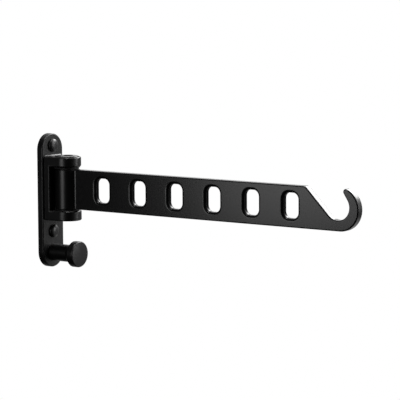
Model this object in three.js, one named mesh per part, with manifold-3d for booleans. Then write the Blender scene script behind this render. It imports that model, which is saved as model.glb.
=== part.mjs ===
// Swing-arm wall hook: a wall plate with a hinge fork and a peg, and a slotted flat arm ending in a hook.
// Millimetres. X runs out of the wall along the arm, Y across the plate, Z up.
// The origin is the middle of the plate's back face, the face that rests on the wall.
import * as THREE from "three";
import { mergeVertices } from "three/addons/utils/BufferGeometryUtils.js";
import Module from "manifold-3d";

const wasm = await Module();
wasm.setup();

// ---------------------------------------------------------------- driving sizes
const GAP = 0.3; // left between pieces that touch

const PLATE = { width: 26.3, bottomZ: -55.3, thickness: 5.5, edge: 1.0 };
const WALL_HOLE_RADIUS = 2.6;
const WALL_SINK_RADIUS = 4.7; // countersink mouth on the plate's front
const WALL_SINK_DEPTH = 2.4;
const UPPER_WALL_HOLE_RISE = 8.55; // above the fork's upper face
const UPPER_WALL_HOLE_INSET = 9.8; // below the plate's top
const LOWER_WALL_HOLE_DROP = 10.1; // below the fork

const FORK = { width: 22.8, edge: 1.1, webThickness: 5.3, bottomZ: -15.4 };
const WEB_RELIEF = 0.9; // how far the groove that clears the barrel is cut into the web
const UPPER_EAR_THICKNESS = 7.95;
const LOWER_EAR_THICKNESS = 8.2;
const SEAM_FILLET = 0.8; // fillet along the seam where the fork's upper face meets the plate

const ARM = { height: 32.6, thickness: 6.5, edge: 1 };
const SLOT = { count: 6, width: 13.5, height: 19.8, corner: 5, edge: 2.3 };
const FIRST_SLOT_OUT = 38.3; // first slot's middle, out from the pivot axis
const LAST_SLOT_INSET = 13.7; // last slot's middle, back from the shoulder
const SLOT_RISE = 0.5; // slots' middle above the bar's middle
const HOOK_X = 287.7; // centre of the hook's outer curve, out from the wall
const HOOK_OUTER_RADIUS = 16.9;
const THROAT_RADIUS = 10.15;
const THROAT_OFFSET_X = -1.75; // throat centre from the outer curve's centre
const THROAT_FLOOR = 8.4; // metal left under the throat
const LIP_ANGLE = 33; // degrees the lip leans back from upright
const LIP_TIP_RADIUS = 2.3;
const LEAD_RADIUS = 11.8; // curve that joins the 45 degree slope to the throat
const SHOULDER_RADIUS = 4;

const BARREL = { radius: 10.3, chamfer: 0.5, boreRadius: 4.8 };
const BARREL_CLEARANCE = 0.5; // between the barrel and the fork's web
const BUSH = { outerRadius: 6, length: 11, flangeRadius: 9.6, flangeThickness: 0.8 };
const WASHER = { radius: 10.6, thickness: 0.5 };
const PIVOT_SHANK_RADIUS = 4;
const PIVOT_HEAD = { radius: 9.5, thickness: 3.4, edge: 0.6, proud: 1.05 };
const PIVOT_SOCKET = { acrossFlats: 8, depth: 1.9 };
const PIVOT_END_RECESS = 0.6; // bolt end above the lower ear's underside

const WELD = { radius: 2.6, endInset: 0.8, bow: 1.1 };

const PEG = { shankRadius: 7.1, headRadius: 10.7, coneStartX: 23.6, coneEndX: 27.8, faceX: 33.6 };
const PEG_RISE = 12.25; // peg's middle above the plate's bottom
const PEG_EDGE = 1.1;
const PEG_DOME = 0.5;

const CAP = { radius: 5.4, rim: 0.7, height: 2.9, plugRadius: 2.2, plugLength: 4 };

const FORK_SCREW = { headRadius: 4.6, shankRadius: 2.5, length: 9.8 };
const PEG_SCREW = { headRadius: 5.4, shankRadius: 3, length: 20 };
const SCREW_RECESS = 0.4; // screw head below the plate's back face
const FORK_SCREW_SOCKET = 3; // driver socket across flats
const PEG_SCREW_SOCKET = 4;
const SCREW_SOCKET_DEPTH = 1.6;
const SCREW_POINT = 0.8; // chamfer on a screw's end

const ROUND = 48; // facets round a full circle
const EDGE_STEPS = 2; // facets across a rounded edge
const MOUTH_ANGLES = [22.5, 45, 67.5]; // degrees of the flats that round a slot's mouth
const REACH = 60; // how far a cutting tool runs past the metal

// ---------------------------------------------------------------- sizes that follow from the others
const forkBackX = PLATE.thickness + GAP;
const webFrontX = forkBackX + FORK.webThickness;
const pivotX = webFrontX - WEB_RELIEF + BARREL_CLEARANCE + BARREL.radius;
const lowerEarTopZ = FORK.bottomZ + LOWER_EAR_THICKNESS;
const armBottomZ = lowerEarTopZ + BUSH.flangeThickness + 2 * GAP;
const armTopZ = armBottomZ + ARM.height;
const upperEarBottomZ = armTopZ + BUSH.flangeThickness + WASHER.thickness + 3 * GAP;
const forkTopZ = upperEarBottomZ + UPPER_EAR_THICKNESS;
const headFloorZ = forkTopZ + PIVOT_HEAD.proud - PIVOT_HEAD.thickness - GAP;
const upperScrewZ = (upperEarBottomZ + forkTopZ) / 2;
const lowerScrewZ = (FORK.bottomZ + lowerEarTopZ) / 2;
const upperWallHoleZ = forkTopZ + UPPER_WALL_HOLE_RISE;
const plateTopZ = upperWallHoleZ + UPPER_WALL_HOLE_INSET;
const lowerWallHoleZ = FORK.bottomZ - LOWER_WALL_HOLE_DROP;
const pegZ = PLATE.bottomZ + PEG_RISE;
const firstSlotX = pivotX + FIRST_SLOT_OUT;
const throatX = HOOK_X + THROAT_OFFSET_X;
const floorZ = armBottomZ + THROAT_FLOOR;
const throatZ = floorZ + THROAT_RADIUS;
const slopeSum = throatX + floorZ - LEAD_RADIUS * (Math.SQRT2 - 1); // x + z all along the slope
const shoulderX = slopeSum - armTopZ; // where the top edge would meet the slope
const slotPitch = (shoulderX - LAST_SLOT_INSET - firstSlotX) / (SLOT.count - 1);
const slotCentreZ = armBottomZ + ARM.height / 2 + SLOT_RISE;
const hookZ = armBottomZ + HOOK_OUTER_RADIUS;

// ---------------------------------------------------------------- solids
function toSolid(geometry) {
  const bare = geometry.index ? geometry.toNonIndexed() : geometry.clone();
  bare.deleteAttribute("normal");
  bare.deleteAttribute("uv");
  const merged = mergeVertices(bare, 1e-4);
  const made = new wasm.Manifold(
    new wasm.Mesh({
      numProp: 3,
      vertProperties: merged.attributes.position.array,
      triVerts: new Uint32Array(merged.index.array),
    }),
  );
  return made;
}

function toGeometry(solid) {
  const mesh = solid.getMesh();
  const geometry = new THREE.BufferGeometry();
  geometry.setAttribute("position", new THREE.BufferAttribute(new Float32Array(mesh.vertProperties), 3));
  geometry.setIndex(new THREE.BufferAttribute(new Uint32Array(mesh.triVerts), 1));
  const flat = geometry.toNonIndexed();
  flat.computeVertexNormals();
  return flat;
}

function cut(base, tools) {
  return tools.reduce((left, tool) => left.subtract(tool), base);
}

function join(pieces) {
  return pieces.reduce((whole, piece) => whole.add(piece));
}

// ---------------------------------------------------------------- basic shapes
function block(x0, x1, y0, y1, z0, z1) {
  const box = new THREE.BoxGeometry(x1 - x0, y1 - y0, z1 - z0);
  box.translate((x0 + x1) / 2, (y0 + y1) / 2, (z0 + z1) / 2);
  return toSolid(box);
}

function rodZ(radius, x, y, z0, z1, sides = ROUND) {
  const rod = new THREE.CylinderGeometry(radius, radius, z1 - z0, sides);
  rod.rotateX(Math.PI / 2);
  rod.translate(x, y, (z0 + z1) / 2);
  return toSolid(rod);
}

function rodX(radius, z, x0, x1, sides = ROUND) {
  const rod = new THREE.CylinderGeometry(radius, radius, x1 - x0, sides);
  rod.rotateZ(Math.PI / 2);
  rod.translate((x0 + x1) / 2, 0, z);
  return toSolid(rod);
}

// profile is [radius, height] pairs, closed, running up the outside and down the inside
function turnedZ(profile, x) {
  const lathe = new THREE.LatheGeometry(toPoints(profile), ROUND);
  lathe.rotateX(Math.PI / 2);
  lathe.translate(x, 0, 0);
  return toSolid(lathe);
}

// profile is [radius, x] pairs, running along the outside away from the wall
function turnedX(profile, z) {
  const lathe = new THREE.LatheGeometry(toPoints(profile), ROUND);
  lathe.rotateZ(-Math.PI / 2);
  lathe.translate(0, 0, z);
  return toSolid(lathe);
}

function toPoints(pairs) {
  return pairs.map(([a, b]) => new THREE.Vector2(a, b));
}

function arc(cx, cy, radius, startDegrees, endDegrees, steps) {
  const points = [];
  for (let i = 0; i <= steps; i += 1) {
    const angle = THREE.MathUtils.degToRad(startDegrees + ((endDegrees - startDegrees) * i) / steps);
    points.push([cx + radius * Math.cos(angle), cy + radius * Math.sin(angle)]);
  }
  return points;
}

function roundedRectangle(x0, x1, y0, y1, corner, steps) {
  return [
    ...arc(x1 - corner, y0 + corner, corner, -90, 0, steps),
    ...arc(x1 - corner, y1 - corner, corner, 0, 90, steps),
    ...arc(x0 + corner, y1 - corner, corner, 90, 180, steps),
    ...arc(x0 + corner, y0 + corner, corner, 180, 270, steps),
  ];
}

// An outline pushed out to a thickness, its two rims rounded inside the outline
function slab(outline, thickness, edge) {
  const geometry = new THREE.ExtrudeGeometry(new THREE.Shape(toPoints(outline)), {
    depth: thickness - 2 * edge,
    bevelEnabled: true,
    bevelThickness: edge,
    bevelSize: edge,
    bevelOffset: -edge,
    bevelSegments: EDGE_STEPS,
    steps: 1,
  });
  geometry.translate(0, 0, edge);
  return geometry;
}

// ---------------------------------------------------------------- the wall plate and what is fixed to it
function screwHole(screw, z) {
  const neckX = SCREW_RECESS + screw.headRadius - screw.shankRadius;
  return turnedX(
    [
      [0, -GAP],
      [screw.headRadius + GAP, -GAP],
      [screw.headRadius + GAP, SCREW_RECESS],
      [screw.shankRadius + GAP, neckX],
      [screw.shankRadius + GAP, screw.length + GAP],
      [0, screw.length + GAP],
    ],
    z,
  );
}

function countersunkScrew(screw, z, socketFlats) {
  const neckX = SCREW_RECESS + screw.headRadius - screw.shankRadius;
  const body = turnedX(
    [
      [0, SCREW_RECESS],
      [screw.headRadius, SCREW_RECESS],
      [screw.shankRadius, neckX],
      [screw.shankRadius, screw.length - SCREW_POINT],
      [screw.shankRadius - SCREW_POINT, screw.length],
      [0, screw.length],
    ],
    z,
  );
  const socketRadius = socketFlats / Math.sqrt(3);
  return body.subtract(rodX(socketRadius, z, -GAP, SCREW_RECESS + SCREW_SOCKET_DEPTH, 6));
}

function wallHole(z) {
  const mouthX = PLATE.thickness - WALL_SINK_DEPTH;
  return turnedX(
    [
      [0, -GAP],
      [WALL_HOLE_RADIUS, -GAP],
      [WALL_HOLE_RADIUS, mouthX],
      [WALL_SINK_RADIUS, PLATE.thickness],
      [WALL_SINK_RADIUS, PLATE.thickness + GAP],
      [0, PLATE.thickness + GAP],
    ],
    z,
  );
}

function wallPlate() {
  const radius = PLATE.width / 2;
  const outline = [
    ...arc(0, plateTopZ - radius, radius, 0, 180, ROUND / 2),
    ...arc(0, PLATE.bottomZ + radius, radius, 180, 360, ROUND / 2),
  ];
  const geometry = slab(outline, PLATE.thickness + PLATE.edge, PLATE.edge);
  geometry.translate(0, 0, -PLATE.edge);
  geometry.rotateX(Math.PI / 2);
  geometry.rotateZ(Math.PI / 2);
  const behindWall = block(-REACH, 0, -REACH, REACH, PLATE.bottomZ - REACH, plateTopZ + REACH);
  return cut(toSolid(geometry), [
    behindWall,
    wallHole(upperWallHoleZ),
    wallHole(lowerWallHoleZ),
    screwHole(FORK_SCREW, upperScrewZ),
    screwHole(FORK_SCREW, lowerScrewZ),
    screwHole(PEG_SCREW, pegZ),
  ]);
}

function ear(bottomZ, topZ) {
  const radius = FORK.width / 2;
  const corner = FORK.edge;
  const outline = [
    ...arc(pivotX, 0, radius, -90, 90, ROUND / 2),
    ...arc(forkBackX + corner, radius - corner, corner, 90, 180, EDGE_STEPS),
    ...arc(forkBackX + corner, corner - radius, corner, 180, 270, EDGE_STEPS),
  ];
  const geometry = slab(outline, topZ - bottomZ, FORK.edge);
  geometry.translate(0, 0, bottomZ);
  return toSolid(geometry);
}

function forkWeb() {
  const half = FORK.width / 2;
  const outline = roundedRectangle(forkBackX, webFrontX, -half, half, FORK.edge, EDGE_STEPS);
  const geometry = new THREE.ExtrudeGeometry(new THREE.Shape(toPoints(outline)), {
    depth: forkTopZ - FORK.bottomZ - 2 * FORK.edge,
    bevelEnabled: false,
  });
  geometry.translate(0, 0, FORK.bottomZ + FORK.edge);
  return toSolid(geometry);
}

function seamFillet() {
  const footX = forkBackX + FORK.edge + SEAM_FILLET;
  const outline = [
    [forkBackX, forkTopZ - FORK.edge],
    [footX, forkTopZ - FORK.edge],
    [footX, forkTopZ],
    [forkBackX + SEAM_FILLET, forkTopZ],
    [forkBackX, forkTopZ + SEAM_FILLET],
  ];
  const length = FORK.width - 2 * FORK.edge;
  const geometry = new THREE.ExtrudeGeometry(new THREE.Shape(toPoints(outline)), { depth: length, bevelEnabled: false });
  geometry.rotateX(Math.PI / 2);
  geometry.translate(0, length / 2, 0);
  return toSolid(geometry);
}

function hingeFork() {
  const ears = [ear(FORK.bottomZ, lowerEarTopZ), ear(upperEarBottomZ, forkTopZ)];
  const whole = join([...ears, forkWeb(), seamFillet()]);
  return cut(whole, [
    rodZ(PIVOT_SHANK_RADIUS + GAP, pivotX, 0, FORK.bottomZ - GAP, forkTopZ + GAP),
    rodZ(PIVOT_HEAD.radius + GAP, pivotX, 0, headFloorZ, forkTopZ + GAP),
    rodZ(BARREL.radius + BARREL_CLEARANCE, pivotX, 0, lowerEarTopZ, upperEarBottomZ),
    screwHole(FORK_SCREW, upperScrewZ),
    screwHole(FORK_SCREW, lowerScrewZ),
  ]);
}

function peg() {
  const body = turnedX(
    [
      [0, PLATE.thickness + GAP],
      [PEG.shankRadius, PLATE.thickness + GAP],
      [PEG.shankRadius, PEG.coneStartX],
      [PEG.headRadius, PEG.coneEndX],
      ...arc(PEG.headRadius - PEG_EDGE, PEG.faceX - PEG_EDGE, PEG_EDGE, 0, 90, EDGE_STEPS + 1),
      [PEG.headRadius / 2, PEG.faceX + PEG_DOME * 0.75],
      [0, PEG.faceX + PEG_DOME],
    ],
    pegZ,
  );
  return body.subtract(screwHole(PEG_SCREW, pegZ));
}

function screwCap(z) {
  const baseX = PLATE.thickness + GAP;
  const rise = CAP.height - CAP.rim;
  const dome = arc(0, 0, 1, 0, 90, 6).map(([r, h]) => [CAP.radius * r, baseX + CAP.rim + rise * h]);
  dome[dome.length - 1][0] = 0;
  const profile = [
    [0, baseX - CAP.plugLength],
    [CAP.plugRadius, baseX - CAP.plugLength],
    [CAP.plugRadius, baseX],
    [CAP.radius, baseX],
    ...dome,
  ];
  return turnedX(profile, z);
}

// ---------------------------------------------------------------- the pivot
function pivotBolt() {
  const headBottom = headFloorZ + GAP;
  const headTop = headBottom + PIVOT_HEAD.thickness;
  const edge = PIVOT_HEAD.edge;
  const body = turnedZ(
    [
      [0, FORK.bottomZ + PIVOT_END_RECESS],
      [PIVOT_SHANK_RADIUS, FORK.bottomZ + PIVOT_END_RECESS],
      [PIVOT_SHANK_RADIUS, headBottom],
      [PIVOT_HEAD.radius, headBottom],
      ...arc(PIVOT_HEAD.radius - edge, headTop - edge, edge, 0, 90, EDGE_STEPS),
      [0, headTop],
    ],
    pivotX,
  );
  const socketRadius = PIVOT_SOCKET.acrossFlats / Math.sqrt(3);
  const socket = rodZ(socketRadius, pivotX, 0, headTop - PIVOT_SOCKET.depth, headTop + GAP, 6);
  return body.subtract(socket);
}

function ring(innerRadius, outerRadius, bottomZ, topZ) {
  return turnedZ(
    [
      [outerRadius, bottomZ],
      [outerRadius, topZ],
      [innerRadius, topZ],
      [innerRadius, bottomZ],
      [outerRadius, bottomZ],
    ],
    pivotX,
  );
}

// side is 1 for the bush pushed in from above, -1 from below
function flangedBush(side) {
  const barrelEndZ = side > 0 ? armTopZ : armBottomZ;
  const bore = PIVOT_SHANK_RADIUS + GAP;
  const profile = [
    [bore, barrelEndZ - side * (BUSH.length - GAP)],
    [BUSH.outerRadius, barrelEndZ - side * (BUSH.length - GAP)],
    [BUSH.outerRadius, barrelEndZ + side * GAP],
    [BUSH.flangeRadius, barrelEndZ + side * GAP],
    [BUSH.flangeRadius, barrelEndZ + side * (GAP + BUSH.flangeThickness)],
    [bore, barrelEndZ + side * (GAP + BUSH.flangeThickness)],
    [bore, barrelEndZ - side * (BUSH.length - GAP)],
  ];
  return turnedZ(side > 0 ? profile : profile.reverse(), pivotX);
}

// ---------------------------------------------------------------- the swinging arm
function barrel() {
  const seat = BUSH.outerRadius + GAP;
  const c = BARREL.chamfer;
  return turnedZ(
    [
      [BARREL.radius - c, armBottomZ],
      [BARREL.radius, armBottomZ + c],
      [BARREL.radius, armTopZ - c],
      [BARREL.radius - c, armTopZ],
      [seat, armTopZ],
      [seat, armTopZ - BUSH.length],
      [BARREL.boreRadius, armTopZ - BUSH.length],
      [BARREL.boreRadius, armBottomZ + BUSH.length],
      [seat, armBottomZ + BUSH.length],
      [seat, armBottomZ],
      [BARREL.radius - c, armBottomZ],
    ],
    pivotX,
  );
}

// The rounded lip end touches the lip's inner line and, from inside, the hook's outer curve
function lipTipCentre() {
  const lean = THREE.MathUtils.degToRad(LIP_ANGLE);
  const fromHookX = throatX - HOOK_X + (THROAT_RADIUS + LIP_TIP_RADIUS) * Math.cos(lean);
  const fromHookZ = throatZ - hookZ + (THROAT_RADIUS + LIP_TIP_RADIUS) * Math.sin(lean);
  const along = fromHookZ * Math.cos(lean) - fromHookX * Math.sin(lean);
  const reach = HOOK_OUTER_RADIUS - LIP_TIP_RADIUS;
  const offset = fromHookX ** 2 + fromHookZ ** 2 - reach ** 2;
  const length = -along + Math.sqrt(along ** 2 - offset);
  return [
    HOOK_X + fromHookX - length * Math.sin(lean),
    hookZ + fromHookZ + length * Math.cos(lean),
  ];
}

function armOutline() {
  const [tipX, tipZ] = lipTipCentre();
  const tipAngle = THREE.MathUtils.radToDeg(Math.atan2(tipZ - hookZ, tipX - HOOK_X));
  const shoulderRun = SHOULDER_RADIUS * Math.tan(Math.PI / 8);
  return [
    [pivotX, armBottomZ],
    ...arc(HOOK_X, hookZ, HOOK_OUTER_RADIUS, -90, tipAngle, 26),
    ...arc(tipX, tipZ, LIP_TIP_RADIUS, tipAngle, 180 + LIP_ANGLE, 8).slice(1),
    ...arc(throatX, throatZ, THROAT_RADIUS, LIP_ANGLE, -90, 18),
    ...arc(throatX, floorZ + LEAD_RADIUS, LEAD_RADIUS, 270, 225, 7).slice(1),
    ...arc(shoulderX - shoulderRun, armTopZ - SHOULDER_RADIUS, SHOULDER_RADIUS, 45, 90, 4),
    [pivotX, armTopZ],
  ];
}

function slotShape(index) {
  const x = firstSlotX + index * slotPitch;
  const halfWidth = SLOT.width / 2;
  const halfHeight = SLOT.height / 2;
  const outline = roundedRectangle(
    x - halfWidth,
    x + halfWidth,
    slotCentreZ - halfHeight,
    slotCentreZ + halfHeight,
    SLOT.corner,
    6,
  );
  return new THREE.Shape(toPoints(outline));
}

// A tool that widens from the slot's own outline, at depth below the face, to its mouth at the face
function mouthFlat(shape, angleDegrees) {
  const angle = THREE.MathUtils.degToRad(angleDegrees);
  const reach = SLOT.edge * (Math.cos(angle) + Math.sin(angle) - 1);
  const depth = reach / Math.sin(angle);
  const tool = new THREE.ExtrudeGeometry(shape, {
    depth: GAP,
    bevelEnabled: true,
    bevelThickness: depth,
    bevelSize: reach / Math.cos(angle),
    bevelSegments: 1,
  });
  tool.translate(0, 0, ARM.thickness / 2);
  return toSolid(tool);
}

function slotTool(index) {
  const shape = slotShape(index);
  const through = new THREE.ExtrudeGeometry(shape, { depth: ARM.thickness + 2 * GAP, bevelEnabled: false });
  through.translate(0, 0, -ARM.thickness / 2 - GAP);
  const front = MOUTH_ANGLES.map((angle) => mouthFlat(shape, angle));
  const back = front.map((tool) => tool.mirror([0, 0, 1]));
  return join([toSolid(through), ...front, ...back]);
}

// Drawn lying flat, face up, then stood on edge
function armPlate() {
  const blank = slab(armOutline(), ARM.thickness, ARM.edge);
  blank.translate(0, 0, -ARM.thickness / 2);
  const slots = Array.from({ length: SLOT.count }, (_, index) => slotTool(index));
  const standing = cut(toSolid(blank), slots).rotate([90, 0, 0]);
  const seat = rodZ(BARREL.radius + GAP, pivotX, 0, armBottomZ - REACH, armTopZ + REACH);
  const rootSide = block(-REACH, pivotX, -REACH, REACH, -REACH, REACH);
  return cut(standing, [seat, rootSide]);
}

// A fillet of weld in the corner between the barrel and one face of the arm, wider towards its ends
function weld(side) {
  const faceY = ARM.thickness / 2 + GAP;
  const seatRadius = BARREL.radius + GAP;
  const scoopX = pivotX + Math.sqrt((seatRadius + WELD.radius) ** 2 - (faceY + WELD.radius) ** 2);
  const bottom = armBottomZ + WELD.endInset;
  const top = armTopZ - WELD.endInset;
  const half = (top - bottom) / 2;
  const bowRadius = (half ** 2 + WELD.bow ** 2) / (2 * WELD.bow);
  const bowAngle = THREE.MathUtils.radToDeg(Math.asin(half / bowRadius));
  const bowX = scoopX - WELD.bow + bowRadius;
  const outline = [
    [pivotX, top],
    [pivotX, bottom],
    ...arc(bowX, (bottom + top) / 2, bowRadius, 180 + bowAngle, 180 - bowAngle, 10),
  ];
  const blank = new THREE.ExtrudeGeometry(new THREE.Shape(toPoints(outline)), {
    depth: WELD.radius,
    bevelEnabled: false,
  });
  blank.rotateX(Math.PI / 2);
  blank.translate(0, -faceY, 0);
  const bead = cut(toSolid(blank), [
    rodZ(seatRadius, pivotX, 0, bottom - GAP, top + GAP),
    rodZ(WELD.radius, scoopX, -faceY - WELD.radius, bottom - GAP, top + GAP),
  ]);
  return side < 0 ? bead : bead.mirror([0, 1, 0]);
}

// ---------------------------------------------------------------- materials and assembly
const blackPaint = new THREE.MeshStandardMaterial({ color: 0x1a1a1c, roughness: 0.42, metalness: 0.1 });
const blackSteel = new THREE.MeshStandardMaterial({ color: 0x24242a, roughness: 0.35, metalness: 0.8 });
const zincSteel = new THREE.MeshStandardMaterial({ color: 0xb4b6ba, roughness: 0.35, metalness: 0.9 });
const nylon = new THREE.MeshStandardMaterial({ color: 0x101012, roughness: 0.6, metalness: 0 });

const group = new THREE.Group();
group.name = "swing_arm_wall_hook";

function place(name, solid, material) {
  const mesh = new THREE.Mesh(toGeometry(solid), material);
  mesh.name = name;
  group.add(mesh);
}

place("wall_plate", wallPlate(), blackPaint);
place("hinge_fork", hingeFork(), blackPaint);
place("fork_screw_upper", countersunkScrew(FORK_SCREW, upperScrewZ, FORK_SCREW_SOCKET), zincSteel);
place("fork_screw_lower", countersunkScrew(FORK_SCREW, lowerScrewZ, FORK_SCREW_SOCKET), zincSteel);
place("peg", peg(), blackPaint);
place("peg_screw", countersunkScrew(PEG_SCREW, pegZ, PEG_SCREW_SOCKET), zincSteel);
place("screw_cap_upper", screwCap(upperWallHoleZ), blackPaint);
place("screw_cap_lower", screwCap(lowerWallHoleZ), blackPaint);
place("pivot_bolt", pivotBolt(), blackSteel);
const washerBottomZ = upperEarBottomZ - GAP - WASHER.thickness;
const washerBore = PIVOT_SHANK_RADIUS + GAP;
place("thrust_washer", ring(washerBore, WASHER.radius, washerBottomZ, upperEarBottomZ - GAP), nylon);
place("barrel", barrel(), blackPaint);
place("arm_plate", armPlate(), blackPaint);
place("weld_left", weld(-1), blackPaint);
place("weld_right", weld(1), blackPaint);
place("bush_upper", flangedBush(1), nylon);
place("bush_lower", flangedBush(-1), nylon);

export default group;
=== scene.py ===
"""Visual model of a swing-arm wall hook: fine meshes over the CAD frame, finishes, light and camera."""

import logging
import math
from dataclasses import dataclass, field
from enum import Enum
from typing import Callable

import bmesh
import bpy
from mathutils import Matrix, Vector
from mathutils.geometry import tessellate_polygon


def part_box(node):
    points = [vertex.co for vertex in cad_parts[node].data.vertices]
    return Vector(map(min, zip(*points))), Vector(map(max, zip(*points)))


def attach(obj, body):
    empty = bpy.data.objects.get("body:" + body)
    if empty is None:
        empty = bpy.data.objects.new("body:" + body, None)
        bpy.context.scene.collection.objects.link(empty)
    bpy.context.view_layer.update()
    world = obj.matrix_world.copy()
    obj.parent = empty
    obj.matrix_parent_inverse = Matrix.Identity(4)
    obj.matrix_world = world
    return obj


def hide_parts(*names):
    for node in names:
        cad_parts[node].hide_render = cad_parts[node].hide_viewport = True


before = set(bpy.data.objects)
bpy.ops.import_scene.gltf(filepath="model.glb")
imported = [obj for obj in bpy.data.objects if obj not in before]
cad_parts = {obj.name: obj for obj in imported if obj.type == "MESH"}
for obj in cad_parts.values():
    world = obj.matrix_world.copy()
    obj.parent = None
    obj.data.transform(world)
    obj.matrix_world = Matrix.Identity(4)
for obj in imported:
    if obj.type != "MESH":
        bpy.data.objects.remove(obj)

LOG = logging.getLogger("wall_hook")
MM = 0.001
ENDS = ("upper", "lower")
HOLD = 0.12
"""Width, in millimetres, of the narrow band that keeps a flat face flat beside a rounded edge."""
CORNER = math.radians(40)
"""The least turn at which an edge counts as a corner to round."""

Point = tuple[float, float]
Triple = tuple[float, float, float]
Placer = Callable[[float, float, float], Vector]
EdgeTest = Callable[[Vector, Vector], bool]
Feeds = dict[str | int, object]
Paint = dict[str, bpy.types.Material]


class Body(Enum):
    """The two bodies of the hook: what stays on the wall, and what swings."""

    BRACKET = "wall_bracket"
    ARM = "swing_arm"


class Axis(Enum):
    """The axis that a turned piece stands on."""

    X = "x"
    Z = "z"


# ------------------------------------------------------------------ outlines
def box_mm(node: str) -> tuple[Vector, Vector]:
    """Box of a CAD node.

    Args:
        node: The node's name.

    Returns:
        Its lowest and highest corners, in millimetres.
    """
    low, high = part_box(node)
    return Vector(low) / MM, Vector(high) / MM


def upright(u: float, v: float, w: float) -> Vector:
    """From a plan to the frame."""
    return Vector((u, v, w))


def facing(u: float, v: float, w: float) -> Vector:
    """From a drawing seen from the front to the frame."""
    return Vector((w, u, v))


def rod(radius: float, low: float, high: float) -> list[Point]:
    """Turning profile of a plain round rod."""
    return [(0.0, low), (radius, low), (radius, high), (0.0, high)]


def hexagon(flats: float, middle: float = 0.0) -> list[Point]:
    """A hexagon's corners.

    Args:
        flats: Its width across flats.
        middle: Where its middle is along the drawing's first axis.

    Returns:
        The six corners.
    """
    reach = flats / math.sqrt(3)
    angles = [math.radians(60 * i) for i in range(6)]
    return [(middle + reach * math.cos(a), reach * math.sin(a)) for a in angles]


@dataclass
class Outline:
    """A closed line with the direction out of the metal at each of its points."""

    points: list[Point] = field(default_factory=list)
    outward: list[Point] = field(default_factory=list)

    def corner(self, x: float, y: float, nx: float, ny: float) -> None:
        """Adds one point with its outward direction."""
        self.points.append((x, y))
        self.outward.append((nx, ny))

    def arc(self, centre: Point, radius: float, start: float, end: float, steps: int, side: int = 1) -> None:
        """Adds an arc, both ends included.

        Args:
            centre: The arc's centre.
            radius: The arc's radius.
            start: The first angle, in degrees.
            end: The last angle, in degrees.
            steps: How many chords stand for the arc.
            side: 1 where the metal is inside the arc, -1 where it is outside.
        """
        for i in range(steps + 1):
            angle = math.radians(start + (end - start) * i / steps)
            c, s = math.cos(angle), math.sin(angle)
            self.corner(centre[0] + radius * c, centre[1] + radius * s, side * c, side * s)

    def inset(self, distance: float) -> list[Point]:
        """The outline moved into the metal by a distance."""
        return [(x - nx * distance, y - ny * distance) for (x, y), (nx, ny) in zip(self.points, self.outward)]


def rounded_section(thickness: float, low_edge: float, high_edge: float, steps: int) -> list[Point]:
    """Section of a slab's side, from its low face to its high face.

    Args:
        thickness: The slab's thickness.
        low_edge: The rounding radius at the low face.
        high_edge: The rounding radius at the high face.
        steps: How many chords stand for each rounding.

    Returns:
        Pairs of inset into the metal and height through the thickness.
    """
    section = [(low_edge + HOLD, 0.0)]
    for i in range(steps + 1):
        a = math.pi / 2 * i / steps
        section.append((low_edge * (1 - math.sin(a)), low_edge * (1 - math.cos(a))))
    for i in range(steps + 1):
        a = math.pi / 2 * i / steps
        section.append((high_edge * (1 - math.cos(a)), thickness - high_edge * (1 - math.sin(a))))
    section.append((high_edge + HOLD, thickness))
    return section


def softened(corners: list[Triple], closed: bool, steps: int = 5) -> list[Point]:
    """Rounds the corners of a turning profile.

    Args:
        corners: Radius, height and rounding radius of each corner.
        closed: Whether the last corner joins the first.
        steps: How many chords stand for each rounding.

    Returns:
        Pairs of radius and height.
    """
    out: list[Point] = []
    count = len(corners)
    for i, (r, h, edge) in enumerate(corners):
        if edge <= 0 or (not closed and i in (0, count - 1)):
            out.append((r, h))
            continue
        here = Vector((r, h))
        before = (Vector(corners[i - 1][:2]) - here).normalized()
        after = (Vector(corners[(i + 1) % count][:2]) - here).normalized()
        half = before.angle(after) / 2
        run = edge / math.tan(half)
        centre = here + (before + after).normalized() * (edge / math.sin(half))
        start = here + before * run - centre
        end = here + after * run - centre
        sweep = start.angle_signed(end)
        out.append(tuple(here + before * (run + HOLD)))
        for k in range(steps + 1):
            turn = Matrix.Rotation(-sweep * k / steps, 2)
            out.append(tuple(centre + turn @ start))
        out.append(tuple(here + after * (run + HOLD)))
    return out


# ------------------------------------------------------------------ meshes
def add_object(name: str, data: bpy.types.ID) -> bpy.types.Object:
    """Adds an object to the scene.

    Args:
        name: The object's name.
        data: Its mesh, light or camera.

    Returns:
        The object.
    """
    obj = bpy.data.objects.new(name, data)
    bpy.context.scene.collection.objects.link(obj)
    return obj


def evaluated_mesh(obj: bpy.types.Object) -> bpy.types.Mesh:
    """Takes what an object's modifiers give, and removes them.

    Args:
        obj: The object.

    Returns:
        The plain mesh.
    """
    graph = bpy.context.evaluated_depsgraph_get()
    mesh = bpy.data.meshes.new_from_object(obj.evaluated_get(graph))
    obj.modifiers.clear()
    return mesh


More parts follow.
